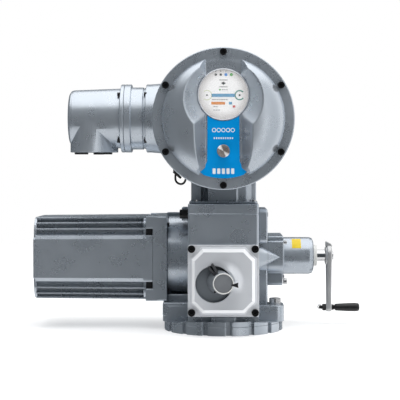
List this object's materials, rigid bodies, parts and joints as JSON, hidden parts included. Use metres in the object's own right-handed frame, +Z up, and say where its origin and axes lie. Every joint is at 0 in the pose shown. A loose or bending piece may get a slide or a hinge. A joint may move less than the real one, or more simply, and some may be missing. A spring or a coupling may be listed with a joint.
{
  "type": "motorized valve actuator",
  "caption": "Motorized multi-turn valve actuator: worm gear unit on a round valve flange, finned motor, hand crank, round electronics housing with display.",
  "frame": {"origin": "centre of the foot face that sits on the valve, on the output axis", "axes": "+Z up along the output axis, away from the valve; +X from the motor towards the hand crank; -Y is the front, with the display and position indicator"},
  "size_m": [0.5577, 0.2855, 0.4656],
  "materials": {
    "housing_paint": "satin silver-grey paint on cast aluminium",
    "cover_paint": "light silver-grey paint",
    "crank_metal": "matt grey coated steel",
    "steel": "ground steel",
    "bright_steel": "polished steel",
    "bronze": "machined bronze",
    "winding": "enamelled copper and laminations",
    "black_steel": "black oxide",
    "black_plastic": "moulded black plastic",
    "pale_plastic": "pale plastic",
    "rubber": "matt rubber",
    "glass": "clear glass",
    "screen": "display face",
    "label": "blue printed foil",
    "circuit_board": "solder mask"
  },
  "bodies": {
    "root": {"base_flange": "housing_paint", "gear_housing": "housing_paint", "foot_bolt_left": "steel", "foot_bolt_right": "steel", "side_cover": "housing_paint", "oil_plug": "black_steel", "output_bearing_lower": "steel", "output_bearing_upper": "steel", "worm_bearing_left": "steel", "worm_bearing_right": "steel", "motor_housing": "housing_paint", "motor_end_plate": "housing_paint", "motor_bearing_rear": "steel", "motor_bearing_front": "steel", "stator": "winding", "crank_housing": "housing_paint", "crank_bush": "pale_plastic", "crank_return_spring": "steel", "indicator_cover": "cover_paint", "sight_glass": "glass", "position_gearbox": "black_plastic", "electronics_housing": "housing_paint", "power_board": "circuit_board", "capacitor": "black_plastic", "electronics_cover": "housing_paint", "cover_seal": "rubber", "display_window": "glass", "display_module": "screen", "control_board": "circuit_board", "front_label": "label", "pedestal": "housing_paint", "connection_frame": "housing_paint", "pin_insert": "black_plastic", "connection_cap": "housing_paint", "service_port_cap": "rubber", "cover_screw_1": "black_steel", "cover_screw_2": "black_steel", "cover_screw_3": "black_steel", "cover_screw_4": "black_steel", "cover_screw_5": "black_steel", "cover_screw_6": "black_steel", "cable_plug_1": "black_plastic", "cable_plug_2": "black_plastic", "cable_plug_3": "black_plastic"},
    "worm": {"worm_shaft": "steel", "rotor": "steel", "shaft_coupling": "steel"},
    "output": {"worm_wheel": "bronze", "output_shaft": "steel", "plug_sleeve": "bronze"},
    "indicator": {"indicator_disc": "pale_plastic"},
    "crank_slider": {"thrust_washer": "steel"},
    "crank": {"crank_shaft": "bright_steel", "crank_arm": "crank_metal", "grip_spindle": "black_steel"},
    "grip": {"crank_grip": "black_plastic"},
    "controller_slider": {"controller_stem": "steel"},
    "controller": {"drive_controller": "bright_steel"}
  },
  "joints": [
    {"name": "worm_spin", "type": "hinge", "parent": "root", "child": "worm", "pos_m": [0, 0.05, 0.12], "axis": [1, 0, 0], "continuous": true},
    {"name": "output_spin", "type": "hinge", "parent": "root", "child": "output", "pos_m": [0, 0, 0], "axis": [0, 0, 1], "continuous": true},
    {"name": "indicator_spin", "type": "hinge", "parent": "root", "child": "indicator", "pos_m": [0, 0, 0.091], "axis": [0, 1, 0], "continuous": true},
    {"name": "crank_push", "type": "slide", "parent": "root", "child": "crank_slider", "axis": [-1, 0, 0], "range_m": [0, 0.01], "stiffness_N_per_m": 900, "deforming": ["crank_return_spring"]},
    {"name": "crank_turn", "type": "hinge", "parent": "crank_slider", "child": "crank", "pos_m": [0, 0.05, 0.12], "axis": [1, 0, 0], "continuous": true},
    {"name": "grip_spin", "type": "hinge", "parent": "crank", "child": "grip", "pos_m": [0, 0.05, 0.03], "axis": [1, 0, 0], "continuous": true},
    {"name": "controller_push", "type": "slide", "parent": "root", "child": "controller_slider", "axis": [0, 1, 0], "range_m": [0, 0.002], "stiffness_N_per_m": 600},
    {"name": "controller_turn", "type": "hinge", "parent": "controller_slider", "child": "controller", "pos_m": [0, 0, 0.2996], "axis": [0, 1, 0], "continuous": true}
  ],
  "couplings": [
    {"joint": "output_spin", "follows": "worm_spin", "ratio": 0.027778},
    {"joint": "indicator_spin", "follows": "worm_spin", "ratio": -0.00069444}
  ]
}
